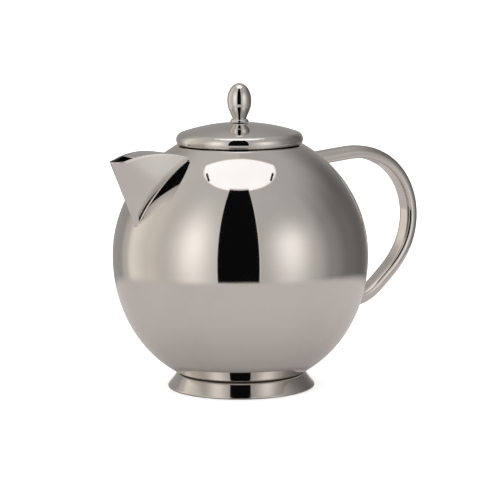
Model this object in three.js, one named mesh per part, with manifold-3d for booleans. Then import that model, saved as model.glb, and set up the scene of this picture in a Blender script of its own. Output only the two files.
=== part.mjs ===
// Ball teapot in polished stainless steel: a sheet-steel body of two pressed hemispheres on a flared foot ring,
// a folded beak spout, a bent D-section tube handle, and a lift-off domed lid with an egg-shaped knob.
// Millimetres, +Z up, handle towards +X, spout towards -X. The foot stands on z = 0, and the origin is the
// middle of the overall length, so the pot's own axis stands at x = AXIS_X.
import * as THREE from "three";
import { ConvexGeometry } from "three/addons/geometries/ConvexGeometry.js";
import { mergeVertices } from "three/addons/utils/BufferGeometryUtils.js";
import Module from "manifold-3d";

const wasm = await Module();
wasm.setup();

// Driving dimensions.
const AXIS_X = -19.9;
const SHEET = 0.8;
const GAP = 0.3;
const BODY_R = 70;
const LOWER_CENTRE_Z = 69.55;
const UPPER_CENTRE_Z = 72.85;
const SEAM_Z = 72.5;
const BASE_Z = 6;
const FOOT_TOP_R = 35.1;
const FOOT_TOP_Z = 8.65;
const FOOT_R = 40.4;
const SHOULDER_R = 37.5;
const SHOULDER_CREST_Z = 132.8;
const LIP_R = 33;
const LIP_DROP = 2.2;
const NECK_R = 32.6;
const NECK_WALL = 1;
const NECK_TOP_Z = 131;
const NECK_DEPTH = 8.2;
const LID_APEX_Z = 145.4;
const LID_DOME_R = 99;
const RIM_R = 4.3;
const RIM_CENTRE_R = 30.4;
const RIM_CENTRE_Z = 136.08;
const RIM_TANGENT = 71.27;
const LINER_R = 30.8;
const LINER_TOP_Z = 135.3;
const LINER_DEPTH = 10;
const KNOB = { footR: 5.15, flare: 2, neckR: 3.75, bellyR: 6.6, bellyZ: 157.4, topZ: 166.8 };
const KNOB_BORE_DEPTH = 8.5;
const SCREW_R = 2;
const SCREW_HEAD_R = 3.6;
const WASHER_R = 6;
const VENT_R = 1.25;
const VENT_X = 21;
const SPOUT_WALL = 0.9;
const PANEL = { x: -70.7, z: 128.6, halfWidth: 7, flarePerX: 0.157, flarePerZ: 0.16 };
const KEEL = { x: -68, z: 96.2, lean: 0.412 };
const ARCH = { x: -58, z: 132.7, r: 56 };
const COVER_FRONT_X = -70.7;
const MOUTH_NOTCH_X = -76.5;
const MOUTH_SLOPE = 0.14;
const STRAINER = { holeR: 1.5, firstZ: 105, rowStep: 5.5, rows: 4, pitch: 4.3 };
const HANDLE = { width: 11.2, depth: 7.2, outerR: 4, innerR: 1.5, wall: 1.2 };
const HANDLE_START = { x: 44, z: 118.4, heading: 4.7 };
const HANDLE_RUNS = [
  { length: 29.6 },
  { radius: 40, heading: -30 },
  { radius: 34, heading: -121 },
  { radius: 46, heading: -139.5 },
  { length: 12 },
  { radius: 24, heading: -178 },
  { length: 18 },
];

// Fineness of the faceted surfaces.
const BODY_SEGMENTS = 40;
const KNOB_SEGMENTS = 24;
const DRILL_SEGMENTS = 8;
const BODY_STEPS = 9;
const HANDLE_STEPS = 36;

const rad = THREE.MathUtils.degToRad;

function steel(color, roughness) {
  return new THREE.MeshStandardMaterial({ color, roughness, metalness: 1 });
}

const bodySteel = steel(0xb9b2ab, 0.08);
const spoutSteel = steel(0xbdb5b0, 0.1);
const handleSteel = steel(0xb5aca5, 0.1);
const lidSteel = steel(0xaeaaa3, 0.08);
const hiddenSteel = steel(0xa3a09b, 0.3);

function solidOf(geometry) {
  const bare = geometry.index ? geometry.toNonIndexed() : geometry.clone();
  bare.deleteAttribute("normal");
  bare.deleteAttribute("uv");
  const merged = mergeVertices(bare, 1e-4);
  const vertProperties = new Float32Array(merged.attributes.position.array);
  const triVerts = new Uint32Array(merged.index.array);
  return new wasm.Manifold(new wasm.Mesh({ numProp: 3, vertProperties, triVerts }));
}

function geometryOf(solid) {
  const mesh = solid.getMesh();
  const geometry = new THREE.BufferGeometry();
  geometry.setAttribute("position", new THREE.BufferAttribute(mesh.vertProperties, 3));
  geometry.setIndex(new THREE.BufferAttribute(mesh.triVerts, 1));
  geometry.computeVertexNormals();
  return geometry;
}

function piece(name, geometry, material) {
  const mesh = new THREE.Mesh(geometry, material);
  mesh.name = name;
  return mesh;
}

// Points along an arc in the (radius, height) half plane, angles in degrees from the horizontal.
function arc(centreR, centreZ, radius, from, to, steps) {
  return Array.from({ length: steps + 1 }, (_, i) => {
    const angle = rad(from + ((to - from) * i) / steps);
    return new THREE.Vector2(centreR + radius * Math.cos(angle), centreZ + radius * Math.sin(angle));
  });
}

function at(r, z) {
  return new THREE.Vector2(r, z);
}

// A profile of (radius, height) points turned about the pot's axis; a loop is closed on itself.
function turned(profile, segments, loop) {
  const points = loop ? [...profile, profile[0]] : profile;
  return new THREE.LatheGeometry(points, segments).rotateX(Math.PI / 2);
}

// The outside of the two hemispheres with their straight belt, grown by an allowance.
function bodyEnvelope(allowance) {
  const radius = BODY_R + allowance;
  const profile = [
    ...arc(0, LOWER_CENTRE_Z, radius, -90, 0, 2 * BODY_STEPS),
    ...arc(0, UPPER_CENTRE_Z, radius, 0, 90, 2 * BODY_STEPS),
  ];
  profile[0].x = 0;
  profile[profile.length - 1].x = 0;
  return solidOf(turned(profile, BODY_SEGMENTS, false));
}

function lowerShell() {
  const flatAngle = THREE.MathUtils.radToDeg(Math.asin((BASE_Z - LOWER_CENTRE_Z) / BODY_R));
  const rim = SEAM_Z - GAP / 2;
  const innerR = BODY_R - SHEET;
  const profile = [
    at(0, BASE_Z),
    ...arc(0, LOWER_CENTRE_Z, BODY_R, flatAngle, 0, BODY_STEPS),
    at(BODY_R, rim),
    at(innerR, rim),
    ...arc(0, LOWER_CENTRE_Z, innerR, 0, flatAngle, BODY_STEPS),
    at(0, LOWER_CENTRE_Z + innerR * Math.sin(rad(flatAngle))),
  ];
  return turned(profile, BODY_SEGMENTS, false);
}

// The upper shell: a hemisphere whose top rises to a soft crest and dips into a turned-down lip for the lid.
function upperShell() {
  const shoulderAngle = THREE.MathUtils.radToDeg(Math.acos(SHOULDER_R / BODY_R));
  const rim = SEAM_Z + GAP / 2;
  const innerR = BODY_R - SHEET;
  const crest = SHOULDER_CREST_Z;
  const profile = [
    at(BODY_R, rim),
    ...arc(0, UPPER_CENTRE_Z, BODY_R, 0, shoulderAngle, BODY_STEPS),
    at(LIP_R + 2.2, crest),
    at(LIP_R + 1.1, crest - 0.25),
    at(LIP_R + 0.3, crest - 0.85),
    at(LIP_R, crest - LIP_DROP),
    at(LIP_R + SHEET, crest - LIP_DROP),
    at(LIP_R + 2.2, crest - SHEET),
    ...arc(0, UPPER_CENTRE_Z, innerR, shoulderAngle, 0, BODY_STEPS),
    at(innerR, rim),
  ];
  let shell = solidOf(turned(profile, BODY_SEGMENTS, true));
  for (const drill of strainerDrills()) shell = shell.subtract(drill);
  return geometryOf(shell);
}

// Strainer holes behind the spout: a triangle of staggered rows, drilled square to the shell.
function strainerDrills() {
  const up = new THREE.Vector3(0, 1, 0);
  const centre = new THREE.Vector3(0, 0, UPPER_CENTRE_Z);
  const drills = [];
  for (let row = 0; row < STRAINER.rows; row++) {
    const height = STRAINER.firstZ + row * STRAINER.rowStep - UPPER_CENTRE_Z;
    for (let hole = 0; hole <= row; hole++) {
      const side = (hole - row / 2) * STRAINER.pitch;
      const inward = -Math.sqrt(BODY_R ** 2 - height ** 2 - side ** 2);
      const outward = new THREE.Vector3(inward, side, height).normalize();
      const drill = new THREE.CylinderGeometry(STRAINER.holeR, STRAINER.holeR, 8, DRILL_SEGMENTS);
      drill.applyQuaternion(new THREE.Quaternion().setFromUnitVectors(up, outward));
      const place = outward.multiplyScalar(BODY_R).add(centre);
      drills.push(solidOf(drill.translate(place.x, place.y, place.z)));
    }
  }
  return drills;
}

function neckRing() {
  const bottom = NECK_TOP_Z - NECK_DEPTH;
  const inner = NECK_R - NECK_WALL;
  const profile = [
    at(inner, bottom),
    at(NECK_R, bottom),
    at(NECK_R, NECK_TOP_Z - 0.3),
    at(NECK_R - 0.3, NECK_TOP_Z),
    at(inner + 0.3, NECK_TOP_Z),
    at(inner, NECK_TOP_Z - 0.3),
  ];
  return turned(profile, BODY_SEGMENTS, true);
}

// The flared foot: a cone of sheet with its lower edge rolled to a narrow flat that the pot stands on.
function footRing() {
  const profile = [
    at(FOOT_R - 1.6, 0),
    at(FOOT_R - 0.7, 0),
    ...arc(FOOT_R - 0.7, 0.7, 0.7, -60, 20, 3),
    at(FOOT_TOP_R, FOOT_TOP_Z),
    at(FOOT_TOP_R - 0.65, FOOT_TOP_Z - 0.45),
    at(FOOT_R - 1.3, 1.4),
    at(FOOT_R - 1.8, 0.5),
  ];
  return turned(profile, BODY_SEGMENTS, true);
}

// Horizontal outline of the beak at a height, moved inwards by an inset: a round nose and two flat panels
// that run back into the body. The nose radius is what makes the arc tangent to both panels.
function beakOutline(z, inset) {
  const slant = Math.atan(PANEL.flarePerX);
  const cos = Math.cos(slant);
  const noseX = KEEL.x - KEEL.lean * (z - KEEL.z);
  const widthAt = (x) =>
    PANEL.halfWidth + PANEL.flarePerX * (x - PANEL.x) + PANEL.flarePerZ * (z - PANEL.z);
  const noseR = (cos * widthAt(noseX)) / (1 - PANEL.flarePerX * cos);
  const centreX = noseX + noseR;
  const radius = noseR - inset;
  const backX = -30;
  const backY = widthAt(backX) - inset / cos;
  const half = Math.PI / 2 - slant;
  const steps = 10;
  const nose = Array.from({ length: steps + 1 }, (_, i) => {
    const angle = Math.PI - half + (2 * half * i) / steps;
    return new THREE.Vector3(centreX + radius * Math.cos(angle), radius * Math.sin(angle), z);
  });
  return [new THREE.Vector3(backX, backY, z), ...nose, new THREE.Vector3(backX, -backY, z)];
}

function beakHull(bottom, top, inset) {
  return solidOf(new ConvexGeometry([...beakOutline(bottom, inset), ...beakOutline(top, inset)]));
}

// Height of the spout's upper edge: an arch back from the mouth, a straight gently falling rim in front of it.
function edgeHeight(x) {
  if (x >= MOUTH_NOTCH_X) return ARCH.z - ARCH.r + Math.sqrt(ARCH.r ** 2 - (x - ARCH.x) ** 2);
  return edgeHeight(MOUTH_NOTCH_X) + MOUTH_SLOPE * (x - MOUTH_NOTCH_X);
}

// Everything between two curves of the spout's upper edge height, as a slab across the spout.
function slabAbove(fromX, toX, drop, height) {
  const steps = 14;
  const shape = new THREE.Shape();
  shape.moveTo(fromX, edgeHeight(fromX) - drop + height);
  for (let i = 0; i <= steps; i++) {
    const x = fromX + ((toX - fromX) * i) / steps;
    shape.lineTo(x, edgeHeight(x) - drop);
  }
  for (let i = steps; i > 0; i--) {
    const x = fromX + ((toX - fromX) * i) / steps;
    shape.lineTo(x, edgeHeight(x) - drop + height);
  }
  const slab = new THREE.ExtrudeGeometry(shape, { depth: 48, bevelEnabled: false, curveSegments: 1 });
  return solidOf(slab.rotateX(Math.PI / 2).translate(0, 24, 0));
}

// The folded beak: one sheet with a rounded keel and two flat side panels, open above and against the body.
function spoutBody(envelope) {
  const outside = beakHull(86, 140, 0);
  const inside = beakHull(84, 142, SPOUT_WALL);
  const sheet = outside.subtract(inside).subtract(slabAbove(-96, -28, 0, 30)).subtract(envelope);
  return geometryOf(sheet.decompose().reduce((a, b) => (a.volume() > b.volume() ? a : b)));
}

// The arched plate that closes the spout from above, set between the side panels.
function spoutCover(envelope) {
  const inside = beakHull(84, 142, SPOUT_WALL + GAP);
  const plate = slabAbove(COVER_FRONT_X, -28, SPOUT_WALL, SPOUT_WALL).intersect(inside);
  return geometryOf(plate.subtract(envelope));
}

// D-section of the handle tube: x across the handle, y from the flat inner face to the crown at -depth.
function handleSection(inset) {
  const half = HANDLE.width / 2 - inset;
  const top = -(HANDLE.depth - inset);
  const outer = HANDLE.outerR - inset;
  const inner = Math.max(HANDLE.innerR - inset, 0.5);
  const section = new THREE.Shape();
  section.moveTo(half - inner, -inset);
  section.absarc(half - inner, -inset - inner, inner, Math.PI / 2, 0, true);
  section.absarc(half - outer, top + outer, outer, 0, -Math.PI / 2, true);
  section.absarc(-half + outer, top + outer, outer, -Math.PI / 2, -Math.PI, true);
  section.absarc(-half + inner, -inset - inner, inner, Math.PI, Math.PI / 2, true);
  section.closePath();
  return section;
}

// The handle's route as the line of its flat inner face: straight runs and clockwise bends, each tangent
// to the one before, lying in the vertical plane through spout and knob.
class HandleRoute extends THREE.Curve {
  constructor() {
    super();
    this.path = new THREE.Path();
    let { x, z, heading } = HANDLE_START;
    this.path.moveTo(x, z);
    for (const run of HANDLE_RUNS) {
      const direction = rad(heading);
      if (run.length) {
        x += run.length * Math.cos(direction);
        z += run.length * Math.sin(direction);
        this.path.lineTo(x, z);
        continue;
      }
      const turnedTo = rad(run.heading);
      const centreX = x + run.radius * Math.sin(direction);
      const centreZ = z - run.radius * Math.cos(direction);
      const quarter = Math.PI / 2;
      this.path.absarc(centreX, centreZ, run.radius, direction + quarter, turnedTo + quarter, true);
      x = centreX - run.radius * Math.sin(turnedTo);
      z = centreZ + run.radius * Math.cos(turnedTo);
      heading = run.heading;
    }
  }

  getPoint(t) {
    const point = this.path.getPoint(t);
    return new THREE.Vector3(point.x, 0, point.y);
  }
}

function handleTube(envelope) {
  const options = { extrudePath: new HandleRoute(), steps: HANDLE_STEPS, curveSegments: 2 };
  const outside = solidOf(new THREE.ExtrudeGeometry(handleSection(0), options));
  const bore = solidOf(new THREE.ExtrudeGeometry(handleSection(HANDLE.wall), options));
  return geometryOf(outside.subtract(bore).subtract(envelope));
}

// A straight hole through the lid and its liner on the handle side, which lets air in as the pot pours.
function ventDrill() {
  const drill = new THREE.CylinderGeometry(VENT_R, VENT_R, 30, DRILL_SEGMENTS);
  return solidOf(drill.rotateX(Math.PI / 2).translate(VENT_X, 0, RIM_CENTRE_Z));
}

function lidDome() {
  const centreZ = LID_APEX_Z - LID_DOME_R;
  const bore = SCREW_R + GAP;
  const rimEnd = -78;
  const domeFrom = THREE.MathUtils.radToDeg(Math.acos(bore / LID_DOME_R));
  const innerRim = RIM_R - SHEET;
  const profile = [
    ...arc(RIM_CENTRE_R, RIM_CENTRE_Z, RIM_R, rimEnd, RIM_TANGENT, 7),
    ...arc(0, centreZ, LID_DOME_R, RIM_TANGENT, domeFrom, 5).slice(1),
    ...arc(0, centreZ, LID_DOME_R - SHEET, domeFrom, RIM_TANGENT, 5),
    ...arc(RIM_CENTRE_R, RIM_CENTRE_Z, innerRim, RIM_TANGENT, rimEnd, 6).slice(1),
  ];
  return geometryOf(solidOf(turned(profile, BODY_SEGMENTS, true)).subtract(ventDrill()));
}

// The pressed cup under the dome, whose skirt plugs into the neck.
function lidLiner() {
  const bore = SCREW_R + GAP;
  const skirtEnd = LINER_TOP_Z - LINER_DEPTH;
  const corner = 1.6;
  const profile = [
    at(LINER_R - SHEET, skirtEnd),
    at(LINER_R, skirtEnd),
    ...arc(LINER_R - corner, LINER_TOP_Z - corner, corner, 0, 90, 3),
    at(bore, LINER_TOP_Z),
    at(bore, LINER_TOP_Z - SHEET),
    ...arc(LINER_R - corner, LINER_TOP_Z - corner, corner - SHEET, 90, 0, 2),
  ];
  return geometryOf(solidOf(turned(profile, BODY_SEGMENTS, true)).subtract(ventDrill()));
}

// The knob: a short flared foot, then an egg whose lower half tapers almost straight down to the neck.
function knob() {
  const base = LID_APEX_Z + GAP;
  const bore = SCREW_R + GAP;
  const neckZ = base + KNOB.flare;
  const steps = 5;
  const profile = [at(0, base + KNOB_BORE_DEPTH), at(bore, base + KNOB_BORE_DEPTH), at(bore, base)];
  profile.push(at(KNOB.footR, base), at(KNOB.footR - 0.15, base + 0.35));
  profile.push(at(KNOB.neckR + 0.4, base + 1.2), at(KNOB.neckR, neckZ));
  for (let i = 1; i <= steps; i++) {
    const share = i / steps;
    const swell = Math.sin((share * Math.PI) / 2) * 0.55 + share * 0.45;
    profile.push(at(KNOB.neckR + (KNOB.bellyR - KNOB.neckR) * swell, neckZ + (KNOB.bellyZ - neckZ) * share));
  }
  for (let i = 1; i <= steps; i++) {
    const angle = (i / steps) * (Math.PI / 2);
    const r = i < steps ? KNOB.bellyR * Math.cos(angle) : 0;
    profile.push(at(r, KNOB.bellyZ + (KNOB.topZ - KNOB.bellyZ) * Math.sin(angle)));
  }
  return turned(profile, KNOB_SEGMENTS, false);
}

function knobScrew() {
  const headTop = LINER_TOP_Z - SHEET - 2 * GAP - 0.9;
  const headBottom = headTop - 2.4;
  const tip = LID_APEX_Z + 7.5;
  const profile = [
    at(0, headBottom),
    at(SCREW_HEAD_R - 0.8, headBottom),
    at(SCREW_HEAD_R, headBottom + 0.8),
    at(SCREW_HEAD_R, headTop),
    at(SCREW_R, headTop),
    at(SCREW_R, tip - 0.6),
    at(SCREW_R - 0.6, tip),
    at(0, tip),
  ];
  return turned(profile, KNOB_SEGMENTS, false);
}

function knobWasher() {
  const top = LINER_TOP_Z - SHEET - GAP;
  const bore = SCREW_R + GAP;
  const profile = [at(bore, top - 0.9), at(WASHER_R, top - 0.9), at(WASHER_R, top), at(bore, top)];
  return turned(profile, KNOB_SEGMENTS, true);
}

const envelope = bodyEnvelope(GAP);

const pot = new THREE.Group();
pot.add(
  piece("lower_shell", lowerShell(), bodySteel),
  piece("upper_shell", upperShell(), bodySteel),
  piece("neck_ring", neckRing(), hiddenSteel),
  piece("foot_ring", footRing(), bodySteel),
  piece("spout_body", spoutBody(envelope), spoutSteel),
  piece("spout_cover", spoutCover(envelope), spoutSteel),
  piece("handle_tube", handleTube(envelope), handleSteel),
);

const lid = new THREE.Group();
lid.add(
  piece("lid_dome", lidDome(), lidSteel),
  piece("lid_liner", lidLiner(), hiddenSteel),
  piece("knob", knob(), lidSteel),
  piece("knob_washer", knobWasher(), hiddenSteel),
  piece("knob_screw", knobScrew(), hiddenSteel),
);

const teapot = new THREE.Group();
teapot.add(pot, lid);
teapot.position.x = AXIS_X;

export default teapot;
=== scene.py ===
"""Looks of a polished steel ball teapot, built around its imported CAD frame.

Shapes are worked out in millimetres around the pot's own axis, and moved into the frame as they become
meshes.
"""
import math

import bmesh
import bpy
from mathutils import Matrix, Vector


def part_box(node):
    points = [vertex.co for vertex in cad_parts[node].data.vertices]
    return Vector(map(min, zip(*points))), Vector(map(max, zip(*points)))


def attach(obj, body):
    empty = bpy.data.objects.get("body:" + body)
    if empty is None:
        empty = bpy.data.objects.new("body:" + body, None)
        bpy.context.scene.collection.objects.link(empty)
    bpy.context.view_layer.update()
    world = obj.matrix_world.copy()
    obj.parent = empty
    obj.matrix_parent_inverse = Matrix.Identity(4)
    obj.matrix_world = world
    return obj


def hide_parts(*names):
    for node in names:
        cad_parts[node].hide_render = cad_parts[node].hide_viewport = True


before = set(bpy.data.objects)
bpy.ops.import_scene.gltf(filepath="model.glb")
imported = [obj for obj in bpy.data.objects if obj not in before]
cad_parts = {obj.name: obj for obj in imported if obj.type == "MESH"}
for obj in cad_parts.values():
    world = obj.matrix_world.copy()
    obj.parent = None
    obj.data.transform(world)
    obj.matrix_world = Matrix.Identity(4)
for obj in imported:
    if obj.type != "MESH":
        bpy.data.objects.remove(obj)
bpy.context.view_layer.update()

MM = 0.001

# Where the pot stands: the axis of the body, and its ball. The ball's lower half is deeper than its upper
# half, and BALL_BELT makes it fuller just below the seam.
shell_low, shell_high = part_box("lower_shell")
AXIS_X = (shell_low.x + shell_high.x) / 2
BALL_R = (shell_high.y - shell_low.y) / 2 / MM
BALL_UPPER = 69.9
BALL_LOWER = 72.7
BALL_BELT = 4.6
SEAM_HALF_GAP = 0.15
SEAM_Z = shell_high.z / MM + SEAM_HALF_GAP
SHEET = 0.8
BASE_Z = shell_low.z / MM

SHOULDER_R = 36.2
CREST_RAISE = 0.35
CREST_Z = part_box("upper_shell")[1].z / MM + CREST_RAISE
LIP_R = 33.0
LIP_DROP = 2.2

FOOT_TOP_R = 35.1
FOOT_TOP_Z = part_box("foot_ring")[1].z / MM
FOOT_R = 40.4

FOOT_EDGE_Z = FOOT_TOP_Z - 0.6
FOOT_ROLL_R = 0.7
FOOT_CREVICE_SHADE_R = 0.62

NECK_R = 32.6
NECK_WALL = 1.0
NECK_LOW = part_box("neck_ring")[0].z / MM
NECK_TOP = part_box("neck_ring")[1].z / MM

LID_APEX_Z = 145.4
LID_DOME_R = 99.0
RIM_R = 4.05
RIM_CENTRE_R = 30.55
RIM_CENTRE_Z = 136.3
RIM_TANGENT = 71.23
LINER_R = 30.8
LINER_TOP_Z = 135.3
LINER_DEPTH = 10.0
LINER_CORNER_R = 1.6
VENT_X = 21.0
VENT_R = 1.25
SCREW_R = 2.0
BORE_R = 2.3

KNOB_BASE_Z = LID_APEX_Z + 0.3
KNOB_BORE_DEPTH = 8.5
KNOB_FOOT_R = 5.15
KNOB_NECK_R = 3.75
KNOB_NECK_Z = KNOB_BASE_Z + 2.0
KNOB_BELLY_R = 6.6
KNOB_BELLY_Z = 157.4
KNOB_TOP_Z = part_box("knob")[1].z / MM

SPOUT_WALL = 0.9
PANEL_X, PANEL_Z, PANEL_HALF_WIDTH = -70.7, 128.6, 7.0
FLARE_X, FLARE_Z = 0.157, 0.168
PANEL_BULGE = 0.75
KEEL_X, KEEL_Z, KEEL_LEAN = -68.0, 96.2, 0.412
ARCH_X, ARCH_Z, ARCH_R = -58.0, 132.7, 56.0
MOUTH_X, MOUTH_SLOPE, MOUTH_STEP = -76.5, 0.1, 0.12
COVER_FRONT_X = -70.7
SPOUT_BACK_X = -41.2
COVER_THICK = 0.85
SPOUT_WELD_WIDTH = 0.75
STRAINER_HOLE_R = 1.5
STRAINER_ROWS, STRAINER_FIRST_Z, STRAINER_ROW_STEP, STRAINER_PITCH = 4, 105.0, 5.5, 4.3

HANDLE_WIDTH, HANDLE_DEPTH, HANDLE_OUTER_R, HANDLE_INNER_R = 11.2, 7.2, 4.1, 2.7
HANDLE_WELD_WIDTH = 0.9
HANDLE_STEP = 0.5
HANDLE_START = (44.0, 118.4, 4.7)
HANDLE_RUNS = (
    ("straight", 29.6),
    ("bend", 40.0, -30.0),
    ("bend", 34.0, -121.0),
    ("bend", 46.0, -139.5),
    ("straight", 12.0),
    ("bend", 24.0, -178.0),
    ("straight", 18.0),
)

BODY_SEGMENTS = 192
LID_SEGMENTS = 144
KNOB_SEGMENTS = 96


# ---------------------------------------------------------------- mesh tools

def to_frame(point):
    return (AXIS_X + point[0] * MM, point[1] * MM, point[2] * MM)


def arc(centre_r, centre_z, radius, start, end, steps):
    """Points (r, z) on an arc, angles in degrees from the horizontal."""
    points = []
    for i in range(steps + 1):
        angle = math.radians(start + (end - start) * i / steps)
        points.append((centre_r + radius * math.cos(angle), centre_z + radius * math.sin(angle)))
    return points


def bezier(points, steps):
    """Points on a cubic curve, without its first point."""
    (ax, ay), (bx, by), (cx, cy), (dx, dy) = points
    out = []
    for i in range(1, steps + 1):
        t = i / steps
        s = 1 - t
        weights = (s * s * s, 3 * s * s * t, 3 * s * t * t, t * t * t)
        out.append((
            weights[0] * ax + weights[1] * bx + weights[2] * cx + weights[3] * dx,
            weights[0] * ay + weights[1] * by + weights[2] * cy + weights[3] * dy,
        ))
    return out


def piece(name, verts, faces, materials, body, inner=(), sharp=32):
    """A closed mesh from millimetre points. Faces whose index is in inner take the second material."""
    mesh = bpy.data.meshes.new(name)
    mesh.from_pydata([to_frame(v) for v in verts], [], faces)
    for material in materials:
        mesh.materials.append(material)
    for index in inner:
        mesh.polygons[index].material_index = 1
    work = bmesh.new()
    work.from_mesh(mesh)
    bmesh.ops.recalc_face_normals(work, faces=work.faces)
    work.to_mesh(mesh)
    work.free()
    shade(mesh, sharp)
    obj = bpy.data.objects.new(name, mesh)
    bpy.context.scene.collection.objects.link(obj)
    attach(obj, body)
    return obj


def shade(mesh, sharp):
    mesh.polygons.foreach_set("use_smooth", [True] * len(mesh.polygons))
    mesh.set_sharp_from_angle(angle=math.radians(sharp))


def turned(name, profile, segments, materials, body, loop=True, inner_from=None, inner_to=None):
    """A profile of (r, z) points turned about the axis. One that isn't a loop starts and ends on it."""
    rings = []
    verts = []
    for r, z in profile:
        if r < 1e-6:
            rings.append([len(verts)])
            verts.append((0, 0, z))
            continue
        rings.append(list(range(len(verts), len(verts) + segments)))
        for i in range(segments):
            angle = 2 * math.pi * i / segments
            verts.append((r * math.cos(angle), r * math.sin(angle), z))
    pairs = list(zip(range(len(rings) - 1), range(1, len(rings))))
    if loop:
        pairs.append((len(rings) - 1, 0))
    faces = []
    inner = []
    for a, b in pairs:
        for i in range(segments):
            j = (i + 1) % segments
            lower, upper = rings[a], rings[b]
            if len(lower) == 1:
                face = (lower[0], upper[j], upper[i])
            elif len(upper) == 1:
                face = (lower[i], lower[j], upper[0])
            else:
                face = (lower[i], lower[j], upper[j], upper[i])
            if inner_from is not None and inner_from <= a < inner_to:
                inner.append(len(faces))
            faces.append(face)
    return piece(name, verts, faces, materials, body, inner)


def swept(name, rings, materials, body, closed=False, sharp=32, inner_from=None):
    """Closed section rings joined one after another, capped at both ends unless the sweep itself closes.
    The sides from inner_from on in each ring take the second material."""
    count = len(rings[0])
    verts = [point for ring in rings for point in ring]
    faces = []
    inner = []
    spans = len(rings) if closed else len(rings) - 1
    for a in range(spans):
        b = (a + 1) % len(rings)
        for i in range(count):
            j = (i + 1) % count
            if inner_from is not None and i >= inner_from:
                inner.append(len(faces))
            faces.append((a * count + i, a * count + j, b * count + j, b * count + i))
    if not closed:
        faces.append(tuple(range(count)))
        faces.append(tuple((len(rings) - 1) * count + i for i in range(count)))
    return piece(name, verts, faces, materials, body, inner, sharp)


def cut(obj, drills):
    """Cuts closed drill meshes (lists of millimetre points and faces) out of a piece."""
    verts, faces = [], []
    for points, sides in drills:
        base = len(verts)
        verts += points
        faces += [tuple(base + i for i in side) for side in sides]
    mesh = bpy.data.meshes.new("drill")
    mesh.from_pydata([to_frame(v) for v in verts], [], faces)
    work = bmesh.new()
    work.from_mesh(mesh)
    bmesh.ops.recalc_face_normals(work, faces=work.faces)
    work.to_mesh(mesh)
    work.free()
    tool = bpy.data.objects.new("drill", mesh)
    bpy.context.scene.collection.objects.link(tool)
    modifier = obj.modifiers.new("cut", "BOOLEAN")
    modifier.operation = "DIFFERENCE"
    modifier.solver = "EXACT"
    modifier.object = tool
    bpy.context.view_layer.update()
    result = bpy.data.meshes.new_from_object(obj.evaluated_get(bpy.context.evaluated_depsgraph_get()))
    obj.modifiers.clear()
    obj.data = result
    bpy.data.objects.remove(tool)
    shade(result, 32)


def rod(centre, direction, radius, length, sides=24):
    """Points and faces of a straight drill."""
    axis = Vector(direction).normalized()
    across = axis.orthogonal().normalized()
    other = axis.cross(across)
    points = []
    for end in (-length / 2, length / 2):
        for i in range(sides):
            angle = 2 * math.pi * i / sides
            spoke = across * math.cos(angle) + other * math.sin(angle)
            points.append(tuple(Vector(centre) + axis * end + spoke * radius))
    faces = [(i, (i + 1) % sides, sides + (i + 1) % sides, sides + i) for i in range(sides)]
    faces.append(tuple(range(sides)))
    faces.append(tuple(range(sides, 2 * sides)))
    return points, faces


# ---------------------------------------------------------------- the ball and what stands on it

def ball_height(flat, above):
    """Half height of the ball's outline. The lower half is a little fuller near the seam."""
    return BALL_UPPER if above else BALL_LOWER + BALL_BELT * min(1.0, flat)


def ball_share(point, inset=0.0):
    """Below 1 inside the ball shrunk by inset, above 1 outside it."""
    flat = (point[0] ** 2 + point[1] ** 2) / (BALL_R - inset) ** 2
    rise = point[2] - SEAM_Z
    return flat + (rise / (ball_height(flat, rise > 0) - inset)) ** 2


def onto_ball(point, lift=0.0):
    centre = Vector((0, 0, SEAM_Z))
    spoke = Vector(point) - centre
    for _ in range(5):
        spoke = spoke / math.sqrt(ball_share(centre + spoke))
    return centre + spoke * (1 + lift / BALL_R)


def ball_arc(inset, start, end, steps):
    """Points on the ball's outline by its own angle, degrees from the horizontal."""
    points = []
    for i in range(steps + 1):
        angle = math.radians(start + (end - start) * i / steps)
        height = ball_height(math.cos(angle) ** 2, angle > 0) - inset
        points.append(((BALL_R - inset) * math.cos(angle), SEAM_Z + height * math.sin(angle)))
    return points


def ball_angle(z, inset=0.0):
    """The outline's own angle, in degrees, at a height below the seam."""
    low, high = -90.0, 0.0
    for _ in range(40):
        middle = (low + high) / 2
        if ball_arc(inset, middle, middle, 1)[0][1] > z:
            high = middle
        else:
            low = middle
    return low


def fillet(a, corner, b, hidden, steps=7):
    """A closed section: a concave curve from a to b that hugs the corner, and back by a hidden point."""
    points = []
    for i in range(steps + 1):
        t = i / steps
        points.append(tuple(a * (1 - t) ** 2 + corner * (2 * t * (1 - t)) + b * t ** 2))
    points.append(tuple(hidden))
    return points


def lower_shell():
    base_angle = ball_angle(BASE_Z)
    inner_angle = ball_angle(BASE_Z + SHEET, SHEET)
    corner = ball_arc(0, base_angle, 0, 1)[0]
    steps = 64
    outside = ball_arc(0, base_angle + 1.2, 0, steps)
    profile = [(0, BASE_Z), (corner[0] * 0.5, BASE_Z), (corner[0] - 1.4, BASE_Z)]
    profile += bezier([profile[-1], (corner[0] - 0.4, BASE_Z), (corner[0], BASE_Z + 0.2), outside[0]], 5)
    profile += outside[1:]
    inner_from = len(profile)
    profile += ball_arc(SHEET, 0, inner_angle, steps)
    profile += [(profile[-1][0] * 0.5, BASE_Z + SHEET), (0, BASE_Z + SHEET)]
    obj = turned("lower_shell_skin", profile, BODY_SEGMENTS, [BODY_STEEL, SATIN_STEEL], "pot",
                 loop=False, inner_from=inner_from - 1, inner_to=len(profile))
    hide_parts("lower_shell")


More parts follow.
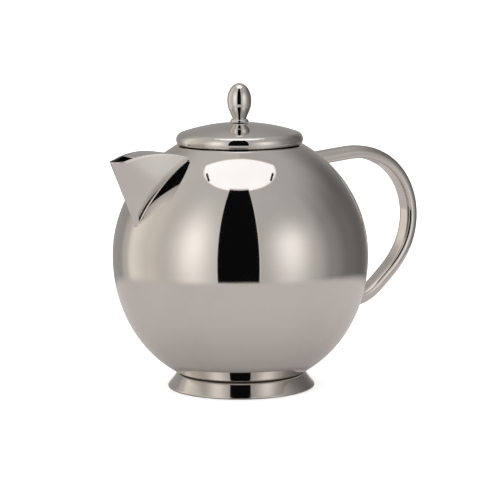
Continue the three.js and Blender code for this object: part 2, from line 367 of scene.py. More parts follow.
def upper_shell():
    shoulder = math.degrees(math.acos(SHOULDER_R / BALL_R))
    edge = ball_arc(0, shoulder, shoulder, 1)[0]
    slope = SHOULDER_R / (edge[1] - SEAM_Z) * (BALL_UPPER / BALL_R) ** 2
    profile = ball_arc(0, 0, shoulder, 64)
    profile += bezier([edge, (edge[0] - 0.5, edge[1] + 0.5 * slope), (35.2, CREST_Z), (34.7, CREST_Z)], 12)
    lip_end = (LIP_R, CREST_Z - LIP_DROP)
    profile += bezier([profile[-1], (33.9, CREST_Z), (LIP_R, CREST_Z - 0.7), lip_end], 10)
    inner_from = len(profile)
    profile += [(LIP_R + SHEET, CREST_Z - LIP_DROP), (LIP_R + 2.0, CREST_Z - SHEET - 0.1)]
    profile += ball_arc(SHEET, shoulder + 1.5, 0, 64)
    obj = turned("upper_shell_skin", profile, BODY_SEGMENTS, [BODY_STEEL, SATIN_STEEL], "pot",
                 inner_from=inner_from, inner_to=len(profile))
    cut(obj, strainer_drills())
    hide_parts("upper_shell")


def strainer_drills():
    """A triangle of staggered holes behind the spout, square to the shell."""
    drills = []
    for row in range(STRAINER_ROWS):
        height = STRAINER_FIRST_Z + STRAINER_ROW_STEP * row - SEAM_Z
        for hole in range(row + 1):
            side = (hole - row / 2) * STRAINER_PITCH
            depth = -math.sqrt(BALL_R ** 2 - height ** 2 - side ** 2)
            outward = Vector((depth, side, height)).normalized()
            place = Vector((0, 0, SEAM_Z)) + outward * BALL_R
            drills.append(rod(place, outward, STRAINER_HOLE_R, 6))
    return drills


def neck_ring():
    inner = NECK_R - NECK_WALL
    profile = arc(NECK_R - 0.3, NECK_TOP - 0.3, 0.3, 0, 90, 4)
    profile += arc(inner + 0.3, NECK_TOP - 0.3, 0.3, 90, 180, 4)
    profile += [(inner, NECK_LOW + 4), (inner, NECK_LOW + 0.2), (inner + 0.2, NECK_LOW)]
    profile += [(NECK_R - 0.2, NECK_LOW), (NECK_R, NECK_LOW + 0.2), (NECK_R, NECK_LOW + 4)]
    # The collar takes the near-black steel: painted shade for the dark gap under the lid.
    obj = turned("neck_collar", profile, LID_SEGMENTS, [CREVICE_SHADE_STEEL], "pot")
    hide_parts("neck_ring")


def foot_ring():
    """A flared cone of sheet: rolled lower edge with a narrow flat, and a softly rounded upper edge."""
    profile = [(FOOT_R - 1.6, 0), (FOOT_R - 1.2, 0), (FOOT_R - FOOT_ROLL_R, 0)]
    profile += arc(FOOT_R - FOOT_ROLL_R, FOOT_ROLL_R, FOOT_ROLL_R, -80, 28, 9)
    side = profile[-1]
    top = (FOOT_TOP_R + 0.85, FOOT_TOP_Z - 1.75)
    for i in range(1, 16):
        share = i / 16
        hollow = 0.12 * math.sin(math.pi * share)
        r = side[0] + (top[0] - side[0]) * share - hollow
        profile.append((r, side[1] + (top[1] - side[1]) * share))
    profile.append(top)
    profile += bezier([top, (FOOT_TOP_R + 0.25, FOOT_TOP_Z - 0.85), (FOOT_TOP_R - 0.2, FOOT_EDGE_Z),
                       (FOOT_TOP_R - 0.9, FOOT_EDGE_Z)], 9)
    profile += bezier([profile[-1], (FOOT_TOP_R - 1.3, FOOT_EDGE_Z), (FOOT_TOP_R - 1.3, FOOT_TOP_Z - 1.2),
                       (FOOT_TOP_R - 0.9, FOOT_TOP_Z - 1.4)], 5)
    inner_from = len(profile)
    profile += [(FOOT_TOP_R + 0.1, FOOT_TOP_Z - 2.2), (FOOT_R - 1.4, 1.5)]
    profile += [(FOOT_R - 1.75, 0.8), (FOOT_R - 1.8, 0.3)]
    obj = turned("foot_flare", profile, BODY_SEGMENTS, [FOOT_STEEL, SATIN_STEEL], "pot",
                 inner_from=inner_from, inner_to=len(profile))
    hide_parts("foot_ring")
    # Then the near-black ring in the crevice above the foot: painted shade.
    foot_crevice_shade()


def foot_crevice_shade():
    """A near-black ring set in the crevice behind the foot's upper edge: painted shade for the dark gap."""
    bead = arc(FOOT_TOP_R - 0.75, FOOT_TOP_Z - 0.1, FOOT_CREVICE_SHADE_R, 0, 345, 23)
    turned("foot_crevice_shade", bead, BODY_SEGMENTS, [CREVICE_SHADE_STEEL], "pot")


# ---------------------------------------------------------------- spout

def panel_half_width(x, z):
    return PANEL_HALF_WIDTH + FLARE_X * (x - PANEL_X) + FLARE_Z * (z - PANEL_Z)


def beak_point(share, z, inset):
    """A point of the beak's outline at a height. share runs from -1 to 1 round the outline, the nose in the
    middle third, the flat panels on both sides of it."""
    slant = math.atan(FLARE_X)
    cos = math.cos(slant)
    nose_x = KEEL_X - KEEL_LEAN * (z - KEEL_Z)
    nose_r = cos * panel_half_width(nose_x, z) / (1 - FLARE_X * cos)
    centre_x = nose_x + nose_r
    half = math.pi / 2 - slant
    radius = nose_r - inset
    if abs(share) <= 1 / 3:
        angle = math.pi + 3 * share * half
        return (centre_x + radius * math.cos(angle), radius * math.sin(angle), z)
    along = (abs(share) - 1 / 3) * 1.5
    start_x = centre_x - radius * math.cos(half)
    x = start_x + (SPOUT_BACK_X - start_x) * along
    level = min(1.0, max(0.0, (z - KEEL_Z) / (ARCH_Z - KEEL_Z)))
    bulge = PANEL_BULGE * math.sin(math.pi * along) * math.sin(math.pi * level)
    y = panel_half_width(x, z) - inset / cos + bulge
    return (x, -math.copysign(y, share), z)


def edge_height(x):
    """The spout's upper edge: an arch back from the mouth, and a lower, gently falling rim before it."""
    if x >= MOUTH_X:
        return ARCH_Z - ARCH_R + math.sqrt(ARCH_R ** 2 - (x - ARCH_X) ** 2)
    step = MOUTH_STEP * min(1.0, (MOUTH_X - x) / 0.5)
    return edge_height(MOUTH_X) - step + MOUTH_SLOPE * (x - MOUTH_X)


def top_of(share, inset):
    z = 126.0
    for _ in range(14):
        z = edge_height(beak_point(share, z, inset)[0])
    return z


def foot_of(share, top, inset, depth):
    """Height at which the spout's sheet goes under the ball's surface, shrunk by depth."""
    low, high = 80.0, top
    if ball_share(beak_point(share, top, inset), depth) < 1:
        return top
    for _ in range(40):
        middle = (low + high) / 2
        if ball_share(beak_point(share, middle, inset), depth) > 1:
            high = middle
        else:
            low = middle
    return high


def spout_shares():
    nose = [-1 / 3 + 2 / 3 * i / 28 for i in range(29)]
    side = [1 / 3 + 2 / 3 * (i / 44) for i in range(1, 45)]
    return [-s for s in reversed(side)] + nose + side


def spout_sheet():
    """The folded beak: one sheet with a round nose and two flat panels, and a softly rounded upper edge."""
    rows = 26
    round_over = 0.35
    rings = []
    for share in spout_shares():
        ring = []
        outer_top = top_of(share, 0)
        inner_top = top_of(share, SPOUT_WALL)
        outer_foot = min(foot_of(share, outer_top, 0, SHEET / 2), outer_top - round_over - 0.02)
        inner_foot = min(foot_of(share, inner_top, SPOUT_WALL, SHEET / 2), inner_top - round_over - 0.02)
        for i in range(rows + 1):
            z = outer_foot + (outer_top - round_over - outer_foot) * i / rows
            ring.append(beak_point(share, z, 0))
        for i in range(1, 8):
            angle = math.pi * i / 8
            across = (1 - math.cos(angle)) / 2
            top = outer_top + (inner_top - outer_top) * across
            z = top - round_over * (1 - math.sin(angle))
            ring.append(beak_point(share, z, SPOUT_WALL * across))
        for i in range(rows + 1):
            z = inner_top - round_over - (inner_top - round_over - inner_foot) * i / rows
            ring.append(beak_point(share, z, SPOUT_WALL))
        rings.append(ring)
    # The inner faces take the near-black steel: painted shade inside the spout.
    obj = swept("spout_sheet", rings, [SPOUT_STEEL, SHADED_RAW_STEEL], "pot", sharp=40,
                inner_from=rows + 7)
    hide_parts("spout_body")


def spout_cover():
    """The arched plate that closes the spout from above, slightly crowned, with rounded edges."""
    rings = []
    columns = 40
    for i in range(columns + 1):
        share = i / columns
        x = COVER_FRONT_X + (SPOUT_BACK_X + 0.6 - COVER_FRONT_X) * share
        taper = min(1.0, 0.35 + 0.65 * min(1.0, (x - COVER_FRONT_X) / 0.35))
        top = edge_height(x) - 0.12
        half = panel_half_width(x, top) - SPOUT_WALL / math.cos(math.atan(FLARE_X)) - 0.08
        ring = []
        for j in range(13):
            across = -1 + 2 * j / 12
            crown = 0.3 * (1 - across ** 2) - 0.22 * across ** 12
            ring.append((x, half * across, top + crown - (1 - taper) * COVER_THICK / 2))
        for j in range(13):
            across = 1 - 2 * j / 12
            under = top - COVER_THICK + 0.3 * (1 - across ** 2)
            ring.append((x, (half - 0.05) * across, under + (1 - taper) * COVER_THICK / 2))
        rings.append(ring)
    obj = swept("spout_bridge", rings, [SPOUT_STEEL], "pot", sharp=40)
    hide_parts("spout_cover")


def spout_weld():
    """The ground weld where the beak meets the ball: a narrow hollow fillet along the joint."""
    rings = []
    for share in spout_shares():
        if abs(share) > 0.985:
            continue
        top = top_of(share, 0)
        joint = foot_of(share, top, 0, 0)
        corner = Vector(beak_point(share, joint, 0))
        rise = (Vector(beak_point(share, joint + 1, 0)) - corner).normalized()
        along = Vector(beak_point(share + 0.004, joint, 0)) - Vector(beak_point(share - 0.004, joint, 0))
        outward = rise.cross(along).normalized()
        if outward.dot(corner - Vector((-60, 0, joint))) < 0:
            outward = -outward
        reach = min(SPOUT_WELD_WIDTH, max(0.05, (top - joint) * 0.5))
        a = corner + rise * reach + outward * 0.015
        b = onto_ball(corner + outward * reach, 0.015)
        hidden = onto_ball(corner - outward * 0.2, -0.5)
        rings.append(fillet(a, corner, b, hidden))
    swept("spout_weld", rings, [SPOUT_STEEL], "pot", sharp=60)


# ---------------------------------------------------------------- handle

def handle_line(step=HANDLE_STEP, soften=8.0):
    """The line of the handle's inner face as (x, z, heading) points, its bends eased into one another."""
    x, z, heading = HANDLE_START
    headings = []
    for run in HANDLE_RUNS:
        if run[0] == "straight":
            headings += [heading] * round(run[1] / step)
            continue
        turn = run[2] - heading
        count = round(run[1] * abs(math.radians(turn)) / step)
        headings += [heading + turn * (i + 0.5) / count for i in range(count)]
        heading = run[2]
    reach = round(soften / 2 / step)
    line = [(x, z, math.radians(headings[0]))]
    for i in range(len(headings)):
        near = headings[max(0, i - reach):i + reach + 1]
        angle = math.radians(sum(near) / len(near))
        x += step * math.cos(angle)
        z += step * math.sin(angle)
        line.append((x, z, angle))
    return line


def handle_section():
    """(across, outwards) points of the D: a flat inner face and a wide round back."""
    half = HANDLE_WIDTH / 2
    inner, outer = HANDLE_INNER_R, HANDLE_OUTER_R
    points = [(-half + inner + (2 * half - 2 * inner) * i / 8, 0.0) for i in range(8)]
    points += arc(half - inner, inner, inner, -90, 0, 7)[:-1]
    points += [(half, inner + 0.01)]
    points += arc(half - outer, HANDLE_DEPTH - outer, outer, 0, 90, 12)
    points += [(0.0, HANDLE_DEPTH)]
    points += arc(-half + outer, HANDLE_DEPTH - outer, outer, 90, 180, 12)
    points += arc(-half + inner, inner, inner, 180, 270, 7)[:-1]
    return points


def handle_point(line, place, section_point):
    """A point of the handle's surface at a place (a real index) along its line."""
    place = min(max(place, 0.0), len(line) - 1.001)
    index = int(place)
    share = place - index
    x0, z0, a0 = line[index]
    x1, z1, a1 = line[index + 1]
    x = x0 + (x1 - x0) * share
    z = z0 + (z1 - z0) * share
    angle = a0 + (a1 - a0) * share
    across, out = section_point
    return Vector((x - out * math.sin(angle), across, z + out * math.cos(angle)))


def handle_crossing(line, section_point, direction, depth):
    """Place along the line at which a section point goes under the ball's surface."""
    place = len(line) // 2
    while 0 < place < len(line) - 1 and ball_share(handle_point(line, place, section_point), depth) > 1:
        place += direction
    outside, inside = place - direction, place
    for _ in range(30):
        middle = (outside + inside) / 2
        if ball_share(handle_point(line, middle, section_point), depth) > 1:
            outside = middle
        else:
            inside = middle
    return outside


def handle():
    line = handle_line()
    section = handle_section()
    starts = [handle_crossing(line, p, -1, SHEET / 2) for p in section]
    ends = [handle_crossing(line, p, 1, SHEET / 2) for p in section]
    first = max(starts) + 4
    last = min(ends) - 4
    rings = []
    blend_steps = 8
    for i in range(blend_steps):
        share = i / blend_steps
        places = [start + (first - start) * share for start in starts]
        rings.append([tuple(handle_point(line, spot, p)) for spot, p in zip(places, section)])
    place = first
    while place < last:
        rings.append([tuple(handle_point(line, place, p)) for p in section])
        place += 2.5
    for i in range(blend_steps + 1):
        share = i / blend_steps
        places = [last + (end - last) * share for end in ends]
        rings.append([tuple(handle_point(line, spot, p)) for spot, p in zip(places, section)])
    obj = swept("handle_bar", rings, [HANDLE_STEEL], "pot", sharp=40)
    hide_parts("handle_tube")
    handle_weld("handle_weld_top", line, section, -1)
    handle_weld("handle_weld_low", line, section, 1)


def handle_weld(name, line, section, direction):
    """A hollow fillet all round one end of the handle, from its surface onto the ball."""
    rings = []
    count = len(section)
    for i, point in enumerate(section):
        joint = handle_crossing(line, point, direction, 0)
        corner = handle_point(line, joint, point)
        before, after = section[i - 1], section[(i + 1) % count]
        tangent = Vector((after[0] - before[0], after[1] - before[1])).normalized()
        angle = line[int(joint)][2]
        across, out = tangent.y, -tangent.x
        outward = Vector((-out * math.sin(angle), across, out * math.cos(angle)))
        a = handle_point(line, joint - direction * HANDLE_WELD_WIDTH / HANDLE_STEP, point) + outward * 0.015
        b = onto_ball(corner + outward * HANDLE_WELD_WIDTH, 0.015)
        hidden = onto_ball(corner - outward * 0.3, -0.5)
        rings.append(fillet(a, corner, b, hidden))
    swept(name, rings, [HANDLE_STEEL], "pot", closed=True, sharp=60)


# ---------------------------------------------------------------- lid and knob

def vent_drill():
    return rod((VENT_X, 0, RIM_CENTRE_Z), (0, 0, 1), VENT_R, 30)


def lid_shell():
    """The domed lid with its bullnose rim, one sheet, hollow below."""
    centre_z = LID_APEX_Z - LID_DOME_R
    bore_angle = math.degrees(math.acos(BORE_R / LID_DOME_R))
    rim_end = -78
    profile = arc(RIM_CENTRE_R, RIM_CENTRE_Z, RIM_R, rim_end, RIM_TANGENT, 44)
    profile += arc(0, centre_z, LID_DOME_R, RIM_TANGENT, bore_angle, 40)[1:]
    inner_from = len(profile)
    profile += arc(0, centre_z, LID_DOME_R - SHEET, bore_angle, RIM_TANGENT, 12)
    profile += arc(RIM_CENTRE_R, RIM_CENTRE_Z, RIM_R - SHEET, RIM_TANGENT, rim_end, 20)[1:]
    obj = turned("lid_shell", profile, LID_SEGMENTS, [LID_STEEL, SATIN_STEEL], "lid",
                 inner_from=inner_from, inner_to=len(profile) - 1)
    cut(obj, [vent_drill()])
    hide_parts("lid_dome")


def lid_cup():
    skirt_end = LINER_TOP_Z - LINER_DEPTH
    corner = LINER_CORNER_R
    profile = [(LINER_R - SHEET + 0.1, skirt_end), (LINER_R - 0.1, skirt_end), (LINER_R, skirt_end + 0.2)]
    profile += arc(LINER_R - corner, LINER_TOP_Z - corner, corner, 0, 90, 8)
    profile += [(LINER_R * 0.55, LINER_TOP_Z), (BORE_R, LINER_TOP_Z), (BORE_R, LINER_TOP_Z - SHEET)]
    profile += [(LINER_R * 0.55, LINER_TOP_Z - SHEET)]
    profile += arc(LINER_R - corner, LINER_TOP_Z - corner, corner - SHEET, 90, 0, 6)
    profile += [(LINER_R - SHEET, skirt_end + 0.2)]
    obj = turned("lid_cup", profile, LID_SEGMENTS, [SATIN_STEEL], "lid")
    cut(obj, [vent_drill()])
    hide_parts("lid_liner")


def knob():
    """An egg on a short flared foot, its lower half tapering almost straight to the neck."""
    base = KNOB_BASE_Z
    profile = [(0, base + KNOB_BORE_DEPTH), (BORE_R, base + KNOB_BORE_DEPTH)]
    profile += [(BORE_R, base), (KNOB_FOOT_R - 0.1, base)]
    profile += arc(KNOB_FOOT_R - 0.15, base + 0.18, 0.15, -60, 60, 4)
    profile += bezier([profile[-1], (KNOB_FOOT_R - 0.3, base + 1.0), (KNOB_NECK_R + 0.75, base + 1.5),
                       (KNOB_NECK_R, KNOB_NECK_Z - 0.15)], 10)
    neck_out = (KNOB_NECK_R + 0.1, KNOB_NECK_Z + 0.2)
    profile += bezier([profile[-1], (KNOB_NECK_R - 0.02, KNOB_NECK_Z - 0.02),
                       (KNOB_NECK_R + 0.02, KNOB_NECK_Z), neck_out], 3)
    belly = (KNOB_BELLY_R, KNOB_BELLY_Z)
    profile += bezier([neck_out, (KNOB_NECK_R + 1.5, KNOB_NECK_Z + 3.6), (KNOB_BELLY_R, KNOB_BELLY_Z - 4.4),
                       belly], 26)
    rise = KNOB_TOP_Z - KNOB_BELLY_Z
    steps = 34
    for i in range(1, steps + 1):
        angle = math.pi / 2 * i / steps
        radius = KNOB_BELLY_R * math.cos(angle) if i < steps else 0
        profile.append((radius, KNOB_BELLY_Z + rise * math.sin(angle)))
    obj = turned("knob_egg", profile, KNOB_SEGMENTS, [KNOB_STEEL], "lid", loop=False)
    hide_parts("knob")


def knob_screw():
    low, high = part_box("knob_screw")
    bottom, tip = low.z / MM, high.z / MM
    head_r = (high.y - low.y) / 2 / MM
    head_top = bottom + 2.4
    profile = [(0, bottom), (head_r - 1.1, bottom)]
    profile += arc(head_r - 0.9, bottom + 0.9, 0.9, -85, 0, 6)
    profile += [(head_r, head_top - 0.1), (head_r - 0.1, head_top), (SCREW_R, head_top)]
    z = head_top
    while z < tip - 1.4:
        profile += [(SCREW_R, z + 0.15), (SCREW_R - 0.22, z + 0.4), (SCREW_R, z + 0.65)]
        z += 0.7
    profile += [(SCREW_R - 0.6, tip), (0, tip)]
    obj = turned("knob_screw_skin", profile, 48, [SATIN_STEEL], "lid", loop=False)
    slot_points = [(x, y, z) for x in (-5, 5) for y in (-0.5, 0.5) for z in (bottom - 1, bottom + 1)]
    slot_faces = [(0, 1, 3, 2), (4, 6, 7, 5), (0, 4, 5, 1), (2, 3, 7, 6), (0, 2, 6, 4), (1, 5, 7, 3)]
    cut(obj, [(slot_points, slot_faces)])
    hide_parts("knob_screw")


def knob_washer():
    low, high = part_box("knob_washer")
    bottom, top = low.z / MM, high.z / MM
    outer = (high.y - low.y) / 2 / MM
    edge = 0.25
    profile = [(BORE_R, bottom), (outer - edge, bottom)]
    profile += arc(outer - edge, bottom + edge, edge, -80, 0, 4)
    profile += arc(outer - edge, top - edge, edge, 0, 90, 4)
    profile += [(BORE_R, top)]
    obj = turned("knob_washer_skin", profile, 72, [SATIN_STEEL], "lid")
    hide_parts("knob_washer")


# ---------------------------------------------------------------- materials

class Nodes:
    """Short calls that build a shader's node tree."""

    def __init__(self, tree, clear=True):
        self.tree = tree
        if clear:
            tree.nodes.clear()

    def add(self, kind, **settings):
        node = self.tree.nodes.new(kind)
        for key, value in settings.items():
            setattr(node, key, value)
        return node

    def feed(self, socket, value):
        if isinstance(value, bpy.types.NodeSocket):
            self.tree.links.new(value, socket)
        else:
            socket.default_value = value

    def math(self, operation, *values):
        node = self.add("ShaderNodeMath", operation=operation)
        for socket, value in zip(node.inputs, values):
            self.feed(socket, value)
        return node.outputs[0]

    def square(self, value):
        return self.math("MULTIPLY", value, value)

    def fade(self, value, low, high, to_low=0.0, to_high=1.0):
        """value, eased from to_low at low to to_high at high."""
        node = self.add("ShaderNodeMapRange", interpolation_type="SMOOTHSTEP")
        for socket, number in zip(node.inputs, (value, low, high, to_low, to_high)):
            self.feed(socket, number)
        return node.outputs[0]

    def mix(self, factor, a, b):
        node = self.add("ShaderNodeMix", data_type="RGBA")
        self.feed(node.inputs[0], factor)
        self.feed(node.inputs[6], a)
        self.feed(node.inputs[7], b)
        return node.outputs[2]

    def noise(self, vector, scale, detail=3.0, roughness=0.5):
        node = self.add("ShaderNodeTexNoise")
        self.feed(node.inputs["Vector"], vector)
        self.feed(node.inputs["Scale"], scale)
        self.feed(node.inputs["Detail"], detail)
        self.feed(node.inputs["Roughness"], roughness)
        return node.outputs["Fac"]

    def stretch(self, vector, scale):
        node = self.add("ShaderNodeMapping")
        self.feed(node.inputs["Vector"], vector)
        node.inputs["Scale"].default_value = scale
        return node.outputs[0]

    def bump(self, height, distance, under=None):
        node = self.add("ShaderNodeBump")
        self.feed(node.inputs["Height"], height)
        node.inputs["Distance"].default_value = distance
        node.inputs["Strength"].default_value = 1.0
        if under is not None:
            self.feed(node.inputs["Normal"], under)
        return node.outputs[0]


def color(r, g, b):
    return (r, g, b, 1.0)


def steel(name, tint, roughness, haze, grain, grain_axes, wave, speck):
    """Steel. haze is added roughness in cloudy patches, grain the depth of its fine polishing lines in
    metres, wave the depth of its slow unevenness in metres, speck how far its small marks darken."""
    material = bpy.data.materials.new(name)
    material.use_nodes = True
    n = Nodes(material.node_tree)
    place = n.add("ShaderNodeTexCoord").outputs["Object"]
    cloud = n.noise(place, 26.0, 5.0, 0.6)
    patches = n.fade(n.noise(place, 70.0, 4.0, 0.55), 0.48, 0.72)
    lines = n.noise(n.stretch(place, grain_axes), 1.0, 3.0, 0.6)
    swell = n.noise(place, 19.0, 1.0, 0.4)

    marks = n.add("ShaderNodeTexVoronoi", feature="F1")
    n.feed(marks.inputs["Vector"], place)
    n.feed(marks.inputs["Scale"], 160.0)
    dots = n.fade(marks.outputs["Distance"], 0.035, 0.075, 1.0, 0.0)
    sparse = n.fade(n.noise(place, 48.0, 2.0, 0.5), 0.60, 0.66)
    spots = n.math("MULTIPLY", n.math("MULTIPLY", dots, sparse), speck)

    dark = color(tint[0] * 0.955, tint[1] * 0.95, tint[2] * 0.945)
    base = n.mix(n.fade(cloud, 0.35, 0.65), dark, color(*tint))
    base = n.mix(spots, base, color(tint[0] * 0.45, tint[1] * 0.42, tint[2] * 0.40))

    uneven = n.math("MULTIPLY", patches, haze)
    streaks = n.math("MULTIPLY", lines, roughness * 0.5)
    rough = n.math("ADD", n.math("ADD", uneven, streaks), roughness * 0.75)
    rough = n.math("ADD", rough, n.math("MULTIPLY", spots, 0.3))

    bsdf = n.add("ShaderNodeBsdfPrincipled")
    bsdf.inputs["Metallic"].default_value = 1.0
    n.feed(bsdf.inputs["Base Color"], base)
    n.feed(bsdf.inputs["Roughness"], rough)
    n.feed(bsdf.inputs["Normal"], n.bump(lines, grain, n.bump(swell, wave)))
    out = n.add("ShaderNodeOutputMaterial")
    n.feed(out.inputs["Surface"], bsdf.outputs[0])
    return material


BODY_STEEL = steel("body_polish", (0.72, 0.70, 0.68), 0.035, 0.02, 1.5e-6, (60, 60, 900), 6e-5, 0.5)
FOOT_STEEL = steel("foot_polish", (0.71, 0.69, 0.67), 0.05, 0.03, 1.5e-6, (60, 60, 900), 5e-5, 0.4)
SPOUT_STEEL = steel("spout_polish", (0.73, 0.71, 0.695), 0.04, 0.03, 2.0e-6, (700, 90, 160), 5e-5, 0.3)
HANDLE_STEEL = steel("handle_polish", (0.71, 0.68, 0.66), 0.045, 0.03, 1.5e-6, (90, 500, 90), 5e-5, 0.4)
LID_STEEL = steel("lid_polish", (0.70, 0.69, 0.67), 0.035, 0.02, 1.5e-6, (60, 60, 900), 5e-5, 0.4)
KNOB_STEEL = steel("knob_polish", (0.72, 0.71, 0.70), 0.03, 0.02, 1.2e-6, (60, 60, 1200), 3e-5, 0.2)
# The spout's inner faces: rougher unpolished steel, with a near-black colour that is painted shade for the
# spout's dark inside.
SHADED_RAW_STEEL = steel("raw_inside_painted_shade", (0.16, 0.15, 0.14), 0.35, 0.1, 4.0e-6, (300, 90, 160), 5e-5, 0.2)
# Near-black steel: painted shade, laid on the ring in the crevice behind the foot and on the collar in the
# gap under the lid.
CREVICE_SHADE_STEEL = steel("crevice_painted_shade", (0.07, 0.062, 0.055), 0.5, 0.1, 4.0e-6, (200, 200, 600), 5e-5, 0.2)
SATIN_STEEL = steel("satin_inside", (0.64, 0.63, 0.61), 0.24, 0.08, 6.0e-6, (50, 50, 1400), 5e-5, 0.3)


# ---------------------------------------------------------------- build

lower_shell()
upper_shell()
neck_ring()
foot_ring()
spout_sheet()
spout_cover()
spout_weld()
handle()
lid_shell()
lid_cup()
knob()
knob_screw()
knob_washer()


# ---------------------------------------------------------------- stage: pale floor and a paper light tent

VIEW_AZIMUTH = -34.0
CAMERA_DISTANCE = 1250.0
CAMERA_HEIGHT = 257.0
AIM_SIDE, AIM_Z = 2.55, 78.0
CAMERA_ROLL = 0.4
LENS = 169.4

TENT_R = 3.0
TRAY_R = 0.31
TRAY_SOFT = 0.05
TENT_CENTRE_Z = 0.071


def link(obj):
    bpy.context.scene.collection.objects.link(obj)
    return obj


def disc(name, radius, z, material):
    mesh = bpy.data.meshes.new(name)
    work = bmesh.new()
    bmesh.ops.create_circle(work, cap_ends=True, radius=radius, segments=96)
    work.to_mesh(mesh)
    work.free()
    mesh.materials.append(material)
    obj = link(bpy.data.objects.new(name, mesh))
    obj.location = (AXIS_X, 0, z)
    return obj


def glow(n, azimuth, elevation, centre, spread, above, below):
    """A soft round patch of light on the tent, 1 in its middle, with its own fall-off up and down."""
    sideways = n.math("DIVIDE", n.math("SUBTRACT", azimuth, centre[0]), spread)
    rise = n.math("SUBTRACT", elevation, centre[1])
    upward = n.math("DIVIDE", n.math("MAXIMUM", rise, 0.0), above)
    downward = n.math("DIVIDE", n.math("MINIMUM", rise, 0.0), below)
    upright = n.math("ADD", n.square(upward), n.square(downward))
    total = n.math("ADD", upright, n.square(sideways))
    return n.math("EXPONENT", n.math("MULTIPLY", total, -1.0))


def within(n, value, low, high, soft):
    """1 between low and high, eased over soft at both ends."""
    rise = n.fade(value, low - soft, low + soft)
    fall = n.fade(value, high - soft, high + soft, 1.0, 0.0)
    return n.math("MULTIPLY", rise, fall)


def up_to(n, value, limit, soft):
    """1 below the limit, eased to 0 over soft beyond it."""
    return n.fade(value, limit, limit + soft, 1.0, 0.0)


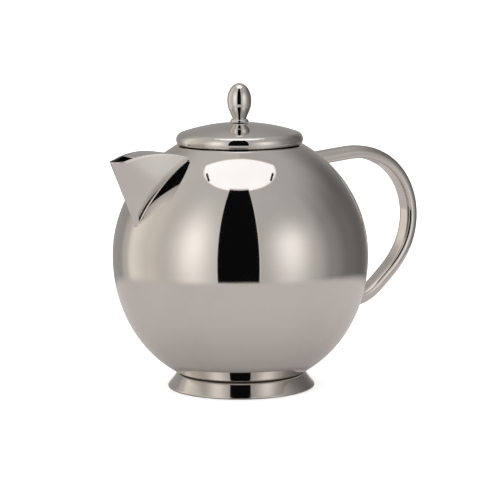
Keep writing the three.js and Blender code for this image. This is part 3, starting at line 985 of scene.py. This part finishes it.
def tent_material():
    """Paper tent: side walls, two softboxes shining through it, a dark slit for the camera and an open top.
    Directions are degrees seen from the middle of the pot, the azimuth counted from the camera."""
    material = bpy.data.materials.new("tent_paper")
    material.use_nodes = True
    n = Nodes(material.node_tree)
    place = n.add("ShaderNodeTexCoord").outputs["Object"]
    turn = n.add("ShaderNodeVectorRotate", rotation_type="Z_AXIS")
    n.feed(turn.inputs["Vector"], place)
    turn.inputs["Angle"].default_value = math.radians(-VIEW_AZIMUTH)
    parts = n.add("ShaderNodeSeparateXYZ")
    n.feed(parts.inputs[0], turn.outputs[0])
    x, y, z = parts.outputs
    degree = 180 / math.pi
    azimuth = n.math("MULTIPLY", n.math("ARCTAN2", x, n.math("MULTIPLY", y, -1.0)), degree)
    reach = n.math("SQRT", n.math("ADD", n.square(x), n.square(y)))
    elevation = n.math("MULTIPLY", n.math("ARCTAN2", z, reach), degree)

    around = n.math("ADD", n.math("DIVIDE", azimuth, 360.0), 0.5)
    wall = n.add("ShaderNodeValToRGB")
    wall.color_ramp.interpolation = "EASE"
    stops = (
        (-180, (0.36, 0.35, 0.34)),
        (-137, (0.37, 0.35, 0.33)),
        (-124, (0.58, 0.54, 0.50)),
        (-113, (0.92, 0.85, 0.77)),
        (-90, (0.74, 0.68, 0.61)),
        (-70, (0.60, 0.57, 0.53)),
        (-20, (0.60, 0.58, 0.56)),
        (20, (0.50, 0.48, 0.46)),
        (72, (0.47, 0.45, 0.43)),
        (90, (0.30, 0.285, 0.275)),
        (112, (0.19, 0.18, 0.17)),
        (138, (0.15, 0.14, 0.135)),
        (180, (0.36, 0.35, 0.34)),
    )
    ramp = wall.color_ramp.elements
    while len(ramp) < len(stops):
        ramp.new(0.5)
    for element, (degrees, value) in zip(ramp, stops):
        element.position = degrees / 360 + 0.5
        element.color = color(*value)
    n.feed(wall.inputs[0], around)
    roof = n.mix(n.fade(azimuth, -120, 120), color(0.62, 0.59, 0.56), color(0.52, 0.50, 0.485))
    paper = n.mix(n.fade(elevation, 22, 62), wall.outputs[0], roof)

    left = glow(n, azimuth, elevation, (-43, 15), 17, 26, 40)
    right = glow(n, azimuth, elevation, (47, 13), 18, 17, 34)
    lit = n.add("ShaderNodeMix", data_type="RGBA", blend_type="ADD")
    lit.inputs[0].default_value = 1.0
    n.feed(lit.inputs[6], paper)
    n.feed(lit.inputs[7], n.mix(left, color(0, 0, 0), color(0.66, 0.61, 0.57)))
    both = n.add("ShaderNodeMix", data_type="RGBA", blend_type="ADD")
    both.inputs[0].default_value = 1.0
    n.feed(both.inputs[6], lit.outputs[2])
    n.feed(both.inputs[7], n.mix(right, color(0, 0, 0), color(0.68, 0.65, 0.62)))
    shown = both.outputs[2]

    # The open top, in the plane of its rim: a disc cut straight on the far side, with a taped border.
    high = n.math("MAXIMUM", z, 0.001)
    side = n.math("DIVIDE", x, high)
    away = n.math("DIVIDE", y, high)
    open_r = n.math("SQRT", n.math("ADD", n.square(side), n.square(away)))
    tape = n.math("MULTIPLY", up_to(n, open_r, 0.445, 0.01), up_to(n, away, 0.225, 0.01))
    opening = n.math("MULTIPLY", up_to(n, open_r, 0.430, 0.007), up_to(n, away, 0.210, 0.007))
    above = n.fade(elevation, 20, 30)
    shown = n.mix(n.math("MULTIPLY", tape, above), shown, color(1.0, 0.86, 0.78))
    shown = n.mix(n.math("MULTIPLY", opening, above), shown, color(1.38, 1.36, 1.36))
    slit_side = n.math("ABSOLUTE", side)
    slit_length = within(n, away, -0.14, 0.04, 0.01)
    slits = n.math("MULTIPLY", within(n, slit_side, 0.388, 0.418, 0.004), slit_length)
    shown = n.mix(n.math("MULTIPLY", slits, above), shown, color(0.012, 0.016, 0.03))

    # The camera's slit, with white borders.
    border_height = within(n, elevation, -14, 68.5, 0.6)
    border = n.math("MULTIPLY", within(n, azimuth, -20.9, 17.4, 0.4), border_height)
    slit = n.math("MULTIPLY", within(n, azimuth, -20.0, 16.6, 0.5), within(n, elevation, -15, 67.0, 0.5))
    shown = n.mix(border, shown, color(0.76, 0.73, 0.70))
    shown = n.mix(slit, shown, color(0.004, 0.004, 0.0045))

    glowing = n.add("ShaderNodeEmission")
    n.feed(glowing.inputs["Color"], shown)
    out = n.add("ShaderNodeOutputMaterial")
    n.feed(out.inputs["Surface"], glowing.outputs[0])
    return material


def tent():
    mesh = bpy.data.meshes.new("tent")
    work = bmesh.new()
    bmesh.ops.create_uvsphere(work, u_segments=96, v_segments=64, radius=TENT_R)
    work.to_mesh(mesh)
    work.free()
    mesh.materials.append(tent_material())
    obj = link(bpy.data.objects.new("tent", mesh))
    obj.location = (AXIS_X, 0, TENT_CENTRE_Z)
    obj.visible_camera = False
    obj.visible_diffuse = False
    obj.visible_shadow = False
    return obj


def paper_material(name, tint, glow_share):
    material = bpy.data.materials.new(name)
    material.use_nodes = True
    n = Nodes(material.node_tree)
    place = n.add("ShaderNodeTexCoord").outputs["Object"]
    grain = n.noise(place, 900.0, 2.0, 0.5)
    soft = n.mix(grain, color(tint[0] * 0.99, tint[1] * 0.99, tint[2] * 0.99), color(*tint))
    bsdf = n.add("ShaderNodeBsdfPrincipled")
    n.feed(bsdf.inputs["Base Color"], soft)
    n.feed(bsdf.inputs["Emission Color"], soft)
    bsdf.inputs["Emission Strength"].default_value = glow_share
    bsdf.inputs["Roughness"].default_value = 0.9
    bsdf.inputs["Specular IOR Level"].default_value = 0.0
    out = n.add("ShaderNodeOutputMaterial")
    n.feed(out.inputs["Surface"], bsdf.outputs[0])
    return material


def tray_material():
    """The sheet that the pot stands on: it glows all round, with a painted shadow under the pot where the
    glow fades out, and its far edge out of focus.
    """
    material = paper_material("tray_paper", (0.36, 0.335, 0.325), 0.45)
    n = Nodes(material.node_tree, clear=False)
    place = n.add("ShaderNodeTexCoord").outputs["Object"]
    distance = n.add("ShaderNodeVectorMath", operation="LENGTH")
    n.feed(distance.inputs[0], place)
    # Painted shadow: the glow is taken away within a few centimetres of the pot's axis.
    lit = n.fade(distance.outputs["Value"], 0.034, 0.046, 0.0, 0.62)
    bsdf = next(node for node in n.tree.nodes if node.type == "BSDF_PRINCIPLED")
    n.feed(bsdf.inputs["Emission Strength"], lit)
    clear = n.add("ShaderNodeBsdfTransparent")
    blend = n.add("ShaderNodeMixShader")
    n.feed(blend.inputs[0], n.fade(distance.outputs["Value"], TRAY_R - TRAY_SOFT, TRAY_R + TRAY_SOFT))
    n.feed(blend.inputs[1], bsdf.outputs[0])
    n.feed(blend.inputs[2], clear.outputs[0])
    out = next(node for node in n.tree.nodes if node.type == "OUTPUT_MATERIAL")
    n.feed(out.inputs["Surface"], blend.outputs[0])
    return material


floor = disc("floor", 6.0, 0.0, paper_material("floor_paper", (0.93, 0.93, 0.93), 0.55))
floor.visible_glossy = False

tray = disc("tray", TRAY_R + TRAY_SOFT, 0.0002, tray_material())
tray.visible_camera = False
tray.visible_diffuse = False
tray.visible_shadow = False

tent()

world = bpy.data.worlds.new("studio")
bpy.context.scene.world = world
world.use_nodes = True
world.node_tree.nodes["Background"].inputs[0].default_value = color(1, 1, 1)
world.node_tree.nodes["Background"].inputs[1].default_value = 1.0

light = bpy.data.lights.new("overhead", "AREA")
light.shape = "DISK"
light.size = 1.6
light.energy = 6.0
overhead = bpy.data.objects.new("overhead", light)
overhead.location = (AXIS_X, 0, 1.6)
overhead.visible_glossy = False
overhead.visible_camera = False
bpy.context.scene.collection.objects.link(overhead)

# ---------------------------------------------------------------- camera

turn = math.radians(VIEW_AZIMUTH)
right = Vector((math.cos(turn), math.sin(turn), 0))
lens = bpy.data.cameras.new("camera")
lens.lens = LENS
lens.sensor_width = 36
lens.clip_end = 30
camera = bpy.data.objects.new("camera", lens)
spot = Vector((AXIS_X, 0, 0)) + Vector((math.sin(turn), -math.cos(turn), 0)) * CAMERA_DISTANCE * MM
camera.location = spot + Vector((0, 0, CAMERA_HEIGHT * MM))
aim = Vector((AXIS_X, 0, AIM_Z * MM)) + right * AIM_SIDE * MM
look = (aim - camera.location).to_track_quat("-Z", "Y")
camera.rotation_euler = look.to_euler()
camera.rotation_euler.rotate_axis("Z", math.radians(-CAMERA_ROLL))
bpy.context.scene.collection.objects.link(camera)
bpy.context.scene.camera = camera

bpy.context.scene.view_settings.view_transform = "Standard"
bpy.context.scene.view_settings.look = "None"
